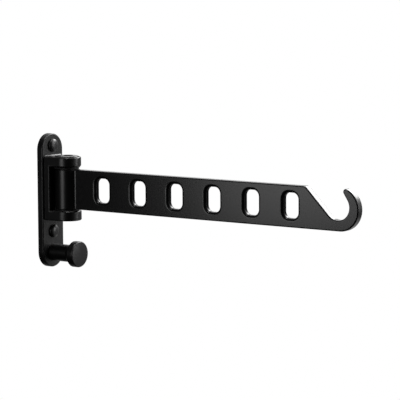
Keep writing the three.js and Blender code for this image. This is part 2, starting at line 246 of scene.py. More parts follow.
class Shell:
    """Faces gathered in millimetres, then joined into one closed mesh in metres."""

    def __init__(self) -> None:
        """Starts with no faces."""
        self.verts: list[Vector] = []
        self.faces: list[list[int]] = []

    def ring(self, places: list[Vector]) -> list[int]:
        """Adds points and returns their numbers."""
        first = len(self.verts)
        self.verts.extend(places)
        return list(range(first, first + len(places)))

    def strips(self, rings: list[list[Vector]]) -> None:
        """Joins each ring of points to the next with quads, all the way round."""
        numbered = [self.ring(r) for r in rings]
        for low, high in zip(numbered, numbered[1:]):
            for i in range(len(low)):
                j = (i + 1) % len(low)
                self.faces.append([low[i], low[j], high[j], high[i]])

    def fill(self, loops: list[list[Point]], place: Placer, height: float) -> None:
        """Fills a flat face.

        Args:
            loops: The face's outer loop, then its holes.
            place: Puts a point of the flat drawing in the object's frame.
            height: The face's height through the thickness.
        """
        flat = [[Vector((x, y, 0)) for x, y in loop] for loop in loops]
        joined = [p for loop in loops for p in loop]
        numbers = self.ring([place(x, y, height) for x, y in joined])
        for tri in tessellate_polygon(flat):
            self.faces.append([numbers[i] for i in tri])

    def take(self, mesh: bpy.types.Mesh) -> None:
        """Adds the faces of a mesh in metres."""
        first = len(self.verts)
        self.verts.extend(v.co / MM for v in mesh.vertices)
        self.faces.extend([first + i for i in p.vertices] for p in mesh.polygons)

    def build(self, name: str) -> bpy.types.Object:
        """Joins the faces.

        Args:
            name: The new object's name.

        Returns:
            The object, at the origin, its faces pointing outwards.
        """
        mesh = bpy.data.meshes.new(name)
        mesh.from_pydata([tuple(v * MM) for v in self.verts], [], self.faces)
        bm = bmesh.new()
        bm.from_mesh(mesh)
        bmesh.ops.remove_doubles(bm, verts=bm.verts, dist=2e-6)
        bmesh.ops.dissolve_degenerate(bm, edges=bm.edges, dist=1e-7)
        bmesh.ops.recalc_face_normals(bm, faces=bm.faces)
        bm.to_mesh(mesh)
        bm.free()
        return add_object(name, mesh)


def slab(
    outer: Outline, section: list[Point], holes: list[Outline], hole_section: list[Point], place: Placer
) -> Shell:
    """A flat piece with rounded edges.

    Args:
        outer: The outer outline.
        section: The outer side's section.
        holes: Outlines of the holes, whose sides are added elsewhere.
        hole_section: The holes' section.
        place: Puts a point of the flat drawing in the object's frame.

    Returns:
        The gathered faces.
    """
    shell = Shell()
    shell.strips([[place(x, y, height) for x, y in outer.inset(inset)] for inset, height in section])
    for end in (0, -1):
        loops = [outer.inset(section[end][0])] + [hole.inset(hole_section[end][0]) for hole in holes]
        shell.fill(loops, place, section[end][1])
    return shell


def turned(
    name: str, profile: list[Point], axis: Axis, centre: Point, closed: bool = False, steps: int = 128
) -> bpy.types.Object:
    """A piece turned round an axis.

    Args:
        name: The new object's name.
        profile: Pairs of radius and height; an open profile starts and ends on the axis.
        axis: The axis it stands on.
        centre: Where the axis passes: Y and Z for an axis along X, X and Y for one along Z.
        closed: Whether the profile's last point joins its first.
        steps: How many sides stand for the circle.

    Returns:
        The object.
    """

    def place(radius: float, height: float, i: int) -> Vector:
        """One point of the turned surface."""
        a = 2 * math.pi * i / steps
        u, v = radius * math.cos(a), radius * math.sin(a)
        if axis is Axis.X:
            return Vector((height, centre[0] + u, centre[1] + v))
        return Vector((centre[0] + u, centre[1] + v, height))

    shell = Shell()
    loop = profile + profile[:1] if closed else profile
    rings = [[place(max(r, 0.0), h, i) for i in range(steps)] for r, h in loop]
    shell.strips(rings)
    return shell.build(name)


def prism(name: str, points: list[Point], low: float, high: float, place: Placer) -> bpy.types.Object:
    """A straight prism, used as it is or as a cutter.

    Args:
        name: The new object's name.
        points: The outline.
        low: Height of one end.
        high: Height of the other end.
        place: Puts a point of the flat drawing in the object's frame.

    Returns:
        The object.
    """
    shell = Shell()
    ends = [shell.ring([place(x, y, h) for x, y in points]) for h in (low, high)]
    count = len(points)
    for i in range(count):
        j = (i + 1) % count
        shell.faces.append([ends[0][i], ends[0][j], ends[1][j], ends[1][i]])
    shell.faces.extend([ends[0][::-1], ends[1]])
    return shell.build(name)


def carve(obj: bpy.types.Object, cutters: list[bpy.types.Object], operation: str = "DIFFERENCE") -> None:
    """Cuts the cutters out of an object, or joins them to it, and removes them.

    Args:
        obj: The object that keeps what is left.
        cutters: Closed objects.
        operation: The boolean operation.
    """
    for cutter in cutters:
        cut = obj.modifiers.new("cut", "BOOLEAN")
        cut.operation = operation
        cut.solver = "EXACT"
        cut.object = cutter
    old = obj.data
    obj.data = evaluated_mesh(obj)
    bpy.data.meshes.remove(old)
    obj.data.name = obj.name
    for cutter in cutters:
        bpy.data.objects.remove(cutter)


def round_edges(obj: bpy.types.Object, wanted: EdgeTest, radius: float, steps: int) -> None:
    """Rounds the hard convex edges that a test picks.

    Args:
        obj: The object.
        wanted: Told the two ends of an edge in millimetres, says whether to round it.
        radius: The rounding radius in millimetres.
        steps: How many chords stand for the rounding.
    """
    bm = bmesh.new()
    bm.from_mesh(obj.data)
    bmesh.ops.remove_doubles(bm, verts=bm.verts, dist=1e-6)
    edges = [
        e
        for e in bm.edges
        if len(e.link_faces) == 2
        and e.calc_face_angle_signed() > CORNER
        and wanted(e.verts[0].co / MM, e.verts[1].co / MM)
    ]
    bmesh.ops.bevel(
        bm,
        geom=edges,
        offset=radius * MM,
        offset_type="OFFSET",
        segments=steps,
        profile=0.5,
        affect="EDGES",
        clamp_overlap=False,
    )
    bm.to_mesh(obj.data)
    bm.free()


class Finisher:
    """Gives a finished mesh its shading, its edge mark, its finish and its place in the frame."""

    SHARP = math.radians(31)
    SOFT_START = math.radians(6)
    SOFT_END = math.radians(14)
    FLAT_PULL = 50

    @staticmethod
    def mark(obj: bpy.types.Object, name: str, level: Callable[[Vector, Vector], float]) -> None:
        """Stores a number at each point of a mesh, for its finish to read.

        Args:
            obj: The object.
            name: The attribute's name.
            level: Told a point in millimetres and the direction it faces, gives its number.
        """
        attribute = obj.data.attributes.new(name, "FLOAT", "POINT")
        attribute.data.foreach_set("value", [level(v.co / MM, v.normal) for v in obj.data.vertices])

    @classmethod
    def settle(cls, obj: bpy.types.Object, weighted: bool) -> None:
        """Smooth shading with hard edges kept, and an attribute that marks rounded convex edges.

        Args:
            obj: The object.
            weighted: Whether large flat faces pull the shading of the edges beside them.
        """
        mesh = obj.data
        bm = bmesh.new()
        bm.from_mesh(mesh)
        mark = [0.0] * len(bm.verts)
        for edge in bm.edges:
            if len(edge.link_faces) != 2:
                continue
            angle = edge.calc_face_angle_signed()
            edge.smooth = abs(angle) < cls.SHARP
            level = min(1.0, max(0.0, (angle - cls.SOFT_START) / (cls.SOFT_END - cls.SOFT_START)))
            for vert in edge.verts:
                mark[vert.index] = max(mark[vert.index], level)
        for face in bm.faces:
            face.smooth = True
        bm.to_mesh(mesh)
        bm.free()
        attribute = mesh.attributes.new("rim", "FLOAT", "POINT")
        attribute.data.foreach_set("value", mark)
        if weighted:
            normals = obj.modifiers.new("flat faces", "WEIGHTED_NORMAL")
            normals.keep_sharp = True
            normals.weight = cls.FLAT_PULL

    @classmethod
    def place(
        cls,
        obj: bpy.types.Object,
        node: str,
        body: Body,
        slot: str,
        material: bpy.types.Material,
        weighted: bool = False,
    ) -> None:
        """Finishes a piece and puts it in place of its CAD node.

        Args:
            obj: The piece.
            node: The CAD node that it stands for.
            body: The body that it rides on.
            slot: The record's material slot; not used.
            material: Its finish.
            weighted: Whether large flat faces pull the shading of the edges beside them.
        """
        cls.settle(obj, weighted)
        obj.data.materials.clear()
        obj.data.materials.append(material)
        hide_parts(node)
        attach(obj, body.value)
        LOG.info("%s: %d faces, finish %s", node, len(obj.data.polygons), material.name)


# ------------------------------------------------------------------ node work
class Wiring:
    """Adds nodes to a tree and joins them."""

    def __init__(self, tree: bpy.types.NodeTree) -> None:
        """Keeps the tree."""
        self.tree = tree

    def feed(self, socket: bpy.types.NodeSocket, value: object) -> None:
        """Gives a socket a value, or links another socket to it.

        Args:
            socket: The input socket.
            value: A value, or an output socket.
        """
        if isinstance(value, bpy.types.NodeSocket):
            self.tree.links.new(value, socket)
        else:
            socket.default_value = value

    def add(self, kind: str, feeds: Feeds | None = None, **settings: object) -> bpy.types.Node:
        """Adds a node.

        Args:
            kind: The node's type.
            feeds: Values or sockets, by the input's name or number.
            settings: The node's own properties.

        Returns:
            The node.
        """
        node = self.tree.nodes.new(kind)
        for label, value in settings.items():
            setattr(node, label, value)
        for key, value in (feeds or {}).items():
            self.feed(node.inputs[key], value)
        return node

    def calculate(self, operation: str, *values: object, clamp: bool = False) -> bpy.types.NodeSocket:
        """Adds a math node.

        Args:
            operation: What it does.
            values: Sockets or numbers.
            clamp: Whether the result is kept between 0 and 1.

        Returns:
            Its output socket.
        """
        feeds = dict(enumerate(values))
        return self.add("ShaderNodeMath", feeds, operation=operation, use_clamp=clamp).outputs[0]

    def remap(
        self, value: bpy.types.NodeSocket, source: Point, target: tuple[object, object], smooth: bool = False
    ) -> bpy.types.NodeSocket:
        """Adds a map range node.

        Args:
            value: The socket that is mapped.
            source: The range that it is mapped from.
            target: The range that it is mapped to, numbers or sockets.
            smooth: Whether it eases in and out.

        Returns:
            Its output socket.
        """
        feeds = {"Value": value, "From Min": source[0], "From Max": source[1]}
        feeds |= {"To Min": target[0], "To Max": target[1]}
        easing = "SMOOTHSTEP" if smooth else "LINEAR"
        return self.add("ShaderNodeMapRange", feeds, interpolation_type=easing).outputs["Result"]

    def noise(self, place: bpy.types.NodeSocket, scale: object, detail: float) -> bpy.types.NodeSocket:
        """Adds a noise node and returns its value socket."""
        return self.add("ShaderNodeTexNoise", {"Detail": detail, "Scale": scale, "Vector": place}).outputs[0]

    def blend(self, factor: bpy.types.NodeSocket, first: object, second: object) -> bpy.types.NodeSocket:
        """Mixes two colours.

        Args:
            factor: The mask's socket.
            first: The colour where the mask is 0: three numbers, or a socket.
            second: The colour where the mask is 1.

        Returns:
            The mixed colour's socket.
        """
        node = self.add("ShaderNodeMix", {"Factor": factor}, data_type="RGBA")
        for socket, colour in zip((s for s in node.inputs if s.type == "RGBA"), (first, second)):
            self.feed(socket, (*colour, 1.0) if isinstance(colour, tuple) else colour)
        return next(s for s in node.outputs if s.type == "RGBA")


# ------------------------------------------------------------------ shared shader effects
class ShaderGroup(Wiring):
    """A shader node group with named numbers in and out, and object coordinates at hand."""

    def __init__(self, name: str, numbers: dict[str, float], outputs: tuple[str, ...]) -> None:
        """Args:
            name: The group's name.
            numbers: Its number inputs and their defaults.
            outputs: Its number outputs.
        """
        super().__init__(bpy.data.node_groups.new(name, "ShaderNodeTree"))
        face = self.tree.interface
        for label, value in numbers.items():
            face.new_socket(name=label, in_out="INPUT", socket_type="NodeSocketFloat").default_value = value
        for label in outputs:
            face.new_socket(name=label, in_out="OUTPUT", socket_type="NodeSocketFloat")
        self.given = self.add("NodeGroupInput").outputs
        self.result = self.add("NodeGroupOutput").inputs
        self.place = self.add("ShaderNodeTexCoord").outputs["Object"]

    def mark(self, name: str) -> bpy.types.NodeSocket:
        """A point attribute's value socket."""
        return self.add("ShaderNodeAttribute", attribute_name=name).outputs["Fac"]

    def patches(self, detail: float, least: float, gain: float) -> bpy.types.NodeSocket:
        """Patchy noise at the group's scale, cut off at its low end.

        Args:
            detail: The noise's detail.
            least: The level below which nothing shows.
            gain: How steeply it rises above that.

        Returns:
            A socket between 0 and 1.
        """
        noise = self.noise(self.place, self.given["Scale"], detail)
        return self.calculate("MULTIPLY", self.calculate("SUBTRACT", noise, least), gain, clamp=True)

    def put_mask(self, *factors: object) -> bpy.types.NodeTree:
        """Puts out the product of two factors and the amount as the mask.

        Args:
            factors: The two factors.

        Returns:
            The group's tree.
        """
        mask = self.calculate("MULTIPLY", *factors)
        self.feed(self.result["Mask"], self.calculate("MULTIPLY", mask, self.given["Amount"], clamp=True))
        return self.tree


class Effects:
    """Shader effects that the finishes share, each a node group built once."""

    def __init__(self) -> None:
        """Builds every group."""
        self.grain = self._grain()
        self.wear = self._wear()
        self.dust = self._dust()
        self.turning = self._turning()
        # The painted shade of recesses: slot walls and socket walls.
        self.thin = self._recess_shade()

    @staticmethod
    def _grain() -> bpy.types.NodeTree:
        """Sprayed grain: a height with soft orange peel and fine flecks, and a slow drift for the gloss.

        Returns:
            The group's tree.
        """
        group = ShaderGroup("sprayed_grain", {"Scale": 900.0, "Fleck": 0.35}, ("Height", "Drift"))
        fine_ratio, drift_scale = 4.3, 38.0
        peel = group.noise(group.place, group.given["Scale"], 2.0)
        fine = group.noise(group.place, group.calculate("MULTIPLY", group.given["Scale"], fine_ratio), 3.0)
        fleck = group.calculate("MULTIPLY", fine, group.given["Fleck"])
        group.feed(group.result["Height"], group.calculate("ADD", peel, fleck))
        drift = group.noise(group.place, drift_scale, 4.0)
        group.feed(group.result["Drift"], group.calculate("ADD", drift, 0.0, clamp=True))
        return group.tree

    @staticmethod
    def _wear() -> bpy.types.NodeTree:
        """Rubbed edges: the rounded edges' mark, broken up.

        Returns:
            The group's tree.
        """
        group = ShaderGroup("rubbed_edges", {"Amount": 0.5, "Scale": 240.0}, ("Mask",))
        return group.put_mask(group.mark("rim"), group.patches(detail=5.0, least=0.36, gain=3.2))

    @staticmethod
    def _dust() -> bpy.types.NodeTree:
        """Fine dust on faces that look up.

        Returns:
            The group's tree.
        """
        group = ShaderGroup("resting_dust", {"Amount": 0.3, "Scale": 420.0}, ("Mask",))
        facing = group.add("ShaderNodeNewGeometry").outputs["Normal"]
        height = group.add("ShaderNodeSeparateXYZ", {0: facing}).outputs["Z"]
        upward = group.calculate("POWER", group.calculate("MAXIMUM", height, 0.0), 3.0)
        return group.put_mask(upward, group.patches(detail=6.0, least=0.42, gain=4.0))

    @staticmethod
    def _recess_shade() -> bpy.types.NodeTree:
        """Painted shade in recesses: the mark of walls drawn darker as shade, with a slightly uneven edge.

        Returns:
            The group's tree.
        """
        group = ShaderGroup("painted_recess_shade", {"Amount": 1.0}, ("Mask",))
        scale, spread, least = 500.0, 0.3, 0.85
        uneven = group.noise(group.place, scale, 3.0)
        drift = group.calculate("ADD", group.calculate("MULTIPLY", uneven, spread), least)
        return group.put_mask(group.mark("painted_recess_shade"), drift)

    @staticmethod
    def _turning() -> bpy.types.NodeTree:
        """Turning marks: fine rings round an upright axis through the given place.

        Returns:
            The group's tree.
        """
        group = ShaderGroup("turning_marks", {"Axis X": 0.021, "Rings": 9000.0}, ("Height",))
        flat = group.add("ShaderNodeSeparateXYZ", {0: group.place}).outputs
        across = group.calculate("SUBTRACT", flat["X"], group.given["Axis X"])
        square = group.calculate("MULTIPLY", across, across)
        other = group.calculate("MULTIPLY", flat["Y"], flat["Y"])
        distance = group.calculate("SQRT", group.calculate("ADD", square, other))
        phase = group.calculate("MULTIPLY", distance, group.given["Rings"])
        feeds = {"Scale": 1.0, "Detail": 3.0, "W": phase}
        line = group.add("ShaderNodeTexNoise", feeds, noise_dimensions="1D")
        group.feed(group.result["Height"], group.calculate("ADD", line.outputs[0], 0.0, clamp=True))
        return group.tree


# ------------------------------------------------------------------ finishes
@dataclass(frozen=True)
class Finish:
    """A finish: what its surface is made of, how evenly it is laid, and the shade painted into its recesses.
    """

    name: str
    colour: Triple
    worn_colour: Triple
    dust_colour: Triple = (0.16, 0.155, 0.15)
    metallic: float = 0.0
    specular: float = 0.5
    roughness: Point = (0.33, 0.43)
    coat: float = 0.0
    coat_roughness: float = 0.27
    # Share of the coat kept where shade is painted into recesses.
    recess_shade_share: float = 0.06
    grain_scale: float = 1100.0
    fleck: float = 0.35
    grain_depth: float = 0.004
    wear: float = 0.35
    dust: float = 0.18
    turned: bool = False
    drift_range: Point = (0.3, 0.7)
    wear_scale: float = 260.0
    dust_scale: float = 700.0
    bump_strength: float = 0.5
    turning_axis: float = 0.021
    rings: float = 5200.0

    def material(self, effects: Effects) -> bpy.types.Material:
        """Builds the material.

        Args:
            effects: The shared effects.

        Returns:
            The material.
        """
        made = bpy.data.materials.new(self.name)
        made.use_nodes = True
        work = Wiring(made.node_tree)
        shader = made.node_tree.nodes["Principled BSDF"].inputs
        shader["Metallic"].default_value = self.metallic
        shader["Specular IOR Level"].default_value = self.specular
        shader["Coat Roughness"].default_value = self.coat_roughness

        def effect(group: bpy.types.NodeTree, values: dict[str, float]) -> bpy.types.bpy_prop_collection:
            """Places a shared effect with its own values and returns its outputs."""
            return work.add("ShaderNodeGroup", values, node_tree=group).outputs

        grain = effect(effects.grain, {"Scale": self.grain_scale, "Fleck": self.fleck})
        wear = effect(effects.wear, {"Amount": self.wear, "Scale": self.wear_scale})
        dust = effect(effects.dust, {"Amount": self.dust, "Scale": self.dust_scale})
        worn = work.blend(wear["Mask"], self.colour, self.worn_colour)
        work.feed(shader["Base Color"], work.blend(dust["Mask"], worn, self.dust_colour))
        work.feed(shader["Roughness"], work.remap(grain["Drift"], self.drift_range, self.roughness))
        # Painted shade: where the recess mark is 1, the coat keeps only a small share of its weight, so slot
        # and socket walls reflect little and look shaded.
        if self.coat:
            thin = effect(effects.thin, {"Amount": 1.0})
            cover = (self.coat, self.coat * self.recess_shade_share)
            work.feed(shader["Coat Weight"], work.remap(thin["Mask"], (0.0, 1.0), cover))
        source = grain["Height"]
        if self.turned:
            source = effect(effects.turning, {"Axis X": self.turning_axis, "Rings": self.rings})["Height"]
        feeds = {"Strength": self.bump_strength, "Distance": self.grain_depth * MM, "Height": source}
        work.feed(shader["Normal"], work.add("ShaderNodeBump", feeds).outputs["Normal"])
        return made


# ------------------------------------------------------------------ repeated and swept shapes
class ShapeTree:
    """A geometry node tree with named inputs, whose result is realised and given its finish."""

    def __init__(self, name: str, source: str, numbers: dict[str, str], result: str) -> None:
        """Args:
            name: The tree's name.
            source: Name of the geometry that feeds it.
            numbers: Its other inputs: the kind of each by name.
            result: Name of the geometry that it puts out.
        """
        self.tree = bpy.data.node_groups.new(name, "GeometryNodeTree")
        face = self.tree.interface
        for label, kind in {source: "Geometry", **numbers, "Finish": "Material"}.items():
            face.new_socket(name=label, in_out="INPUT", socket_type=f"NodeSocket{kind}")
        face.new_socket(name=result, in_out="OUTPUT", socket_type="NodeSocketGeometry")
        self.work = Wiring(self.tree)
        self.given = self.work.add("NodeGroupInput").outputs

    def close(self, shape: bpy.types.NodeSocket) -> None:
        """Realises the shape, sets its finish and puts it out."""
        real = self.work.add("GeometryNodeRealizeInstances", {"Geometry": shape}).outputs["Geometry"]
        paint = self.work.add("GeometryNodeSetMaterial", {"Geometry": real, "Material": self.given["Finish"]})
        self.work.add("NodeGroupOutput", {0: paint.outputs["Geometry"]})

    def run(self, obj: bpy.types.Object, values: dict[str, object]) -> bpy.types.Mesh:
        """Runs the tree on an object and removes the object.

        Args:
            obj: The object that feeds the tree.
            values: The tree's inputs by name.

        Returns:
            The plain mesh.
        """
        modifier = obj.modifiers.new(self.tree.name, "NODES")
        modifier.node_group = self.tree
        for item in self.tree.interface.items_tree:
            if item.in_out == "INPUT" and item.name in values:
                modifier[item.identifier] = values[item.name]
        mesh = evaluated_mesh(obj)
        bpy.data.objects.remove(obj)
        return mesh


class SlotRow(ShapeTree):
    """Repeats one slot's lining along the arm."""

    def __init__(self) -> None:
        """Builds the tree."""
        super().__init__("slot_row", "Lining", {"Count": "Int", "First": "Vector", "Step": "Vector"}, "Row")
        given = self.given
        spacing = {"Count": given["Count"], "Start Location": given["First"], "Offset": given["Step"]}
        line = self.work.add("GeometryNodeMeshLine", spacing, mode="OFFSET").outputs["Mesh"]
        spread = self.work.add("GeometryNodeInstanceOnPoints", {"Points": line, "Instance": given["Lining"]})
        self.close(spread.outputs["Instances"])


class WeldBead(ShapeTree):
    """Sweeps a fillet's section along a joint, wider towards both ends."""

    def __init__(self) -> None:
        """Builds the tree."""
        numbers = {"Start": "Vector", "End": "Vector", "Steps": "Int", "Flare": "Float", "Ripple": "Float"}
        super().__init__("weld_bead", "Section", {**numbers, "Waves": "Float"}, "Bead")
        work, given = self.work, self.given
        path = work.add("GeometryNodeCurvePrimitiveLine", {"Start": given["Start"], "End": given["End"]})
        points = {"Curve": path.outputs["Curve"], "Count": given["Steps"]}
        even = work.add("GeometryNodeResampleCurve", points)
        along = work.add("GeometryNodeSplineParameter").outputs["Factor"]
        centred = work.calculate("SUBTRACT", work.calculate("MULTIPLY", along, 2.0), 1.0)
        flare = work.calculate("MULTIPLY", work.calculate("MULTIPLY", centred, centred), given["Flare"])
        wave = work.calculate("SINE", work.calculate("MULTIPLY", along, given["Waves"]))
        ripple = work.calculate("MULTIPLY", wave, given["Ripple"])
        size = work.calculate("ADD", work.calculate("ADD", 1.0, flare), ripple)
        radius = work.add("GeometryNodeSetCurveRadius", {"Curve": even.outputs["Curve"], "Radius": size})
        section = work.add("GeometryNodeMeshToCurve", {"Mesh": given["Section"]}).outputs["Curve"]
        feeds = {"Curve": radius.outputs["Curve"], "Profile Curve": section, "Fill Caps": True}
        self.close(work.add("GeometryNodeCurveToMesh", feeds).outputs["Mesh"])


# ------------------------------------------------------------------ sub-assemblies
@dataclass
class Bracket:
    """The wall plate, the hinge fork, the peg, the screw caps and the hidden screws. Sizes in millimetres."""

    plate_edge: float = 1.0
    fork_edge: float = 1.1
    web_thickness: float = 5.3
    relief_radius: float = 10.8
    lower_ear: float = 8.2
    upper_ear: float = 7.95
    seam: float = 0.8
    bore: float = 4.3
    head_recess: float = 2.65
    head_bore: float = 9.8
    clearance: float = 0.3
    cap_plug: float = 2.2
    cap_rim: float = 0.7
    cap_flank: float = 0.85
    seam_sunk: float = 0.02
    seam_bow: float = 0.12
    back_edge: float = 0.12
    peg_shank: float = 7.1
    peg_head: float = 10.7
    peg_cone_start: float = 23.6
    peg_cone_end: float = 27.8
    peg_edge: float = 1.15
    peg_dome: float = 0.5
    fork_socket: float = 3.0
    peg_socket: float = 4.0
    screw_socket_depth: float = 1.6
    thread_pitch: float = 0.7
    fork_screw: Point = (4.6, 2.5)
    peg_screw: Point = (5.4, 3.0)
    screw_recess: float = 0.4
    wall_hole: float = 2.6
    wall_sink: float = 4.7
    wall_sink_depth: float = 2.4

    def build(self, paint: Paint) -> None:
        """Builds and dresses every piece.

        Args:
            paint: The materials by finish name.
        """
        self.wall_plate(paint["plate"])
        self.hinge_fork(paint["fork"])
        self.peg(paint["peg"])
        for end in ENDS:
            self.cap(f"screw_cap_{end}", paint["cap"])
        for end in ENDS:
            self.screw(f"fork_screw_{end}", self.fork_screw, self.fork_socket, paint["zinc"])
        self.screw("peg_screw", self.peg_screw, self.peg_socket, paint["zinc"])

    def middle(self, node: str) -> Triple:
        """A node's middle height and its two ends along X."""
        low, high = box_mm(node)
        return (low.z + high.z) / 2, low.x, high.x

    def screw_bore(self, node: str, size: Point) -> bpy.types.Object:
        """A cutter that leaves room for a countersunk screw.

        Args:
            node: The screw's CAD node.
            size: The screw's head and shank radius.

        Returns:
            The cutter.
        """
        z, _, tip = self.middle(node)
        head, shank = size[0] + self.clearance, size[1] + self.clearance
        neck = self.screw_recess + size[0] - size[1]
        profile = [(0.0, -1.0), (head, -1.0), (head, self.screw_recess), (shank, neck)]
        profile += [(shank, tip + self.clearance), (0.0, tip + self.clearance)]
        return turned(f"bore for {node}", profile, Axis.X, (0.0, z), steps=96)

    def fork_bores(self) -> list[bpy.types.Object]:
        """The cutters for the fork's two screws."""
        return [self.screw_bore(f"fork_screw_{end}", self.fork_screw) for end in ENDS]

    def wall_plate(self, material: bpy.types.Material) -> None:
        """The plate: full round ends, a rounded front edge, and its screw holes."""
        low, high = box_mm("wall_plate")
        radius = (high.y - low.y) / 2
        outline = Outline()
        outline.arc((0.0, high.z - radius), radius, 0, 180, 72)
        outline.arc((0.0, low.z + radius), radius, 180, 360, 72)
        section = rounded_section(high.x, self.back_edge, self.plate_edge, 6)
        obj = slab(outline, section, [], [], facing).build("visual_wall_plate")
        sink_start = high.x - self.wall_sink_depth
        cutters = []
        for cap in (f"screw_cap_{end}" for end in ENDS):
            profile = [(0.0, -1.0), (self.wall_hole, -1.0), (self.wall_hole, sink_start)]
            profile += [(self.wall_sink, high.x), (self.wall_sink, high.x + 1.0), (0.0, high.x + 1.0)]
            cutters.append(turned(f"hole under {cap}", profile, Axis.X, (0.0, self.middle(cap)[0]), steps=96))
        cutters += self.fork_bores()
        cutters.append(self.screw_bore("peg_screw", self.peg_screw))
        carve(obj, cutters)
        Finisher.place(obj, "wall_plate", Body.BRACKET, "plate_paint", material, weighted=True)

    def hinge_fork(self, material: bpy.types.Material) -> None:
        """The fork: one C-shaped casting with two round-ended ears, bored for the pivot."""
        low, high = box_mm("hinge_fork")
        radius = (high.y - low.y) / 2
        pivot_x = high.x - radius
        ends = Outline()
        ends.arc((pivot_x, 0.0), radius, -90, 90, 96)
        plan = [(low.x, -radius), *ends.points, (low.x, radius)]
        top = high.z - self.seam
        obj = prism("visual_hinge_fork", plan, low.z, top, upright)
        web_front = low.x + self.web_thickness
        gap_low, gap_high = low.z + self.lower_ear, top - self.upper_ear
        beyond, side = 45.0, 20.0
        square = [(web_front, -side), (beyond, -side), (beyond, side), (web_front, side)]
        carve(obj, [prism("gap", square, gap_low, gap_high, upright)])
        round_edges(obj, lambda a, b: max(a.x, b.x) > low.x + 0.01, self.fork_edge, 5)
        self.seam_fillet(obj, low.x, top, radius)
        groove = rod(self.relief_radius, gap_low, gap_high)
        bore = rod(self.bore, low.z - 1, high.z + 1)
        sink = rod(self.head_bore, top - self.head_recess, high.z + 1)
        carve(
            obj,
            [
                turned("pivot bore", bore, Axis.Z, (pivot_x, 0.0)),
                turned("head recess", sink, Axis.Z, (pivot_x, 0.0)),
                turned("barrel groove", groove, Axis.Z, (pivot_x, 0.0), steps=192),
                *self.fork_bores(),
            ],
        )
        Finisher.place(obj, "hinge_fork", Body.BRACKET, "fork_paint", material, weighted=True)

    def seam_fillet(self, fork: bpy.types.Object, back: float, top: float, radius: float) -> None:
        """Adds the fillet that fills the seam between the fork's upper face and the plate.

        Args:
            fork: The fork.
            back: Where the fork's back is, along X.
            top: Height of the fork's upper face.
            radius: Half the fork's width.
        """
        run = self.fork_edge + self.seam
        base, lip = top - self.fork_edge, top - self.seam_sunk
        section = [(back, base), (back + run, base), (back + run, lip)]
        steps = 6
        for i in range(steps + 1):
            a = math.pi / 2 * i / steps
            bow = self.seam * self.seam_bow * math.sin(2 * a)
            x = self.seam * (1 - i / steps) - bow
            z = self.seam * i / steps - bow
            section.append((back + max(x, 0.0), top + max(z, 0.0)))

        def along(u: float, v: float, w: float) -> Vector:
            """From the section's drawing to the frame."""
            return Vector((u, w, v))

        reach = radius - self.fork_edge
        carve(fork, [prism("seam fillet", section, -reach, reach, along)], "UNION")

    def peg(self, material: bpy.types.Material) -> None:
        """The peg: a shank, a cone and a disc head with a soft edge and a slightly domed face."""
        z, back, front = self.middle("peg")
        _, _, screw_tip = self.middle("peg_screw")
        bore = self.peg_screw[1] + self.clearance
        face = front - self.peg_dome
        corners = [
            (0.0, screw_tip + self.clearance, 0.0),
            (bore, screw_tip + self.clearance, 0.0),
            (bore, back, 0.0),
            (self.peg_shank, back, 0.2),
            (self.peg_shank, self.peg_cone_start, 0.6),
            (self.peg_head, self.peg_cone_end, 0.5),
            (self.peg_head, face, self.peg_edge),
        ]
        profile = softened([*corners, (0.0, face, 0.0)], closed=False, steps=7)[:-1]
        flat = profile[-1][0]
        rings = 14
        for i in range(1, rings + 1):
            out = 1 - i / rings
            profile.append((flat * out, face + (front - face) * (1 - out**2)))
        obj = turned("visual_peg", profile, Axis.X, (0.0, z))
        Finisher.place(obj, "peg", Body.BRACKET, "peg_paint", material)

    def cap(self, node: str, material: bpy.types.Material) -> None:
        """A screw cap: a dome with a steep flank over a thin rim, on a plug.

        Args:
            node: The cap's CAD node.
            material: Its finish.
        """
        low, high = box_mm(node)
        radius = (high.z - low.z) / 2
        z = (low.z + high.z) / 2
        seat = box_mm("wall_plate")[1].x + self.clearance
        rise = high.x - seat - self.cap_rim
        plug, broken, steps = self.cap_plug, 0.15, 18
        profile: list[Point] = [(0.0, low.x), (plug - 0.3, low.x), (plug, low.x + 0.3), (plug, seat)]
        profile += [(radius - broken, seat), (radius, seat + broken)]
        for i in range(steps + 1):
            a = math.pi / 2 * i / steps
            profile.append((radius * math.cos(a) ** self.cap_flank, seat + self.cap_rim + rise * math.sin(a)))
        profile[-1] = (0.0, high.x)
        obj = turned(f"visual_{node}", profile, Axis.X, (0.0, z), steps=96)
        Finisher.place(obj, node, Body.BRACKET, "cap_black", material)

    def screw(self, node: str, size: Point, flats: float, material: bpy.types.Material) -> None:
        """A countersunk screw with a hexagon socket and rolled thread ridges.

        Args:
            node: The screw's CAD node.
            size: Its head and shank radius.
            flats: Its socket across flats.
            material: Its finish.
        """
        z, back, tip = self.middle(node)
        head, shank = size
        neck = back + head - shank
        half, point, broken = self.thread_pitch / 2, 0.8, 0.15
        profile: list[Point] = [(0.0, back), (head - broken, back), (head, back + broken), (shank, neck)]
        x = neck + 0.4
        while x < tip - 2 * self.thread_pitch:
            profile += [(shank, x), (shank - half, x + half)]
            x += self.thread_pitch
        profile += [(shank, tip - point), (shank - point, tip), (0.0, tip)]
        obj = turned(f"visual_{node}", profile, Axis.X, (0.0, z), steps=64)

        def place(u: float, v: float, w: float) -> Vector:
            """From the socket's drawing to the frame."""
            return Vector((w, u, z + v))

        carve(obj, [prism("socket", hexagon(flats), back - 1.0, back + self.screw_socket_depth, place)])
        Finisher.place(obj, node, Body.BRACKET, "hidden_screw_zinc", material)


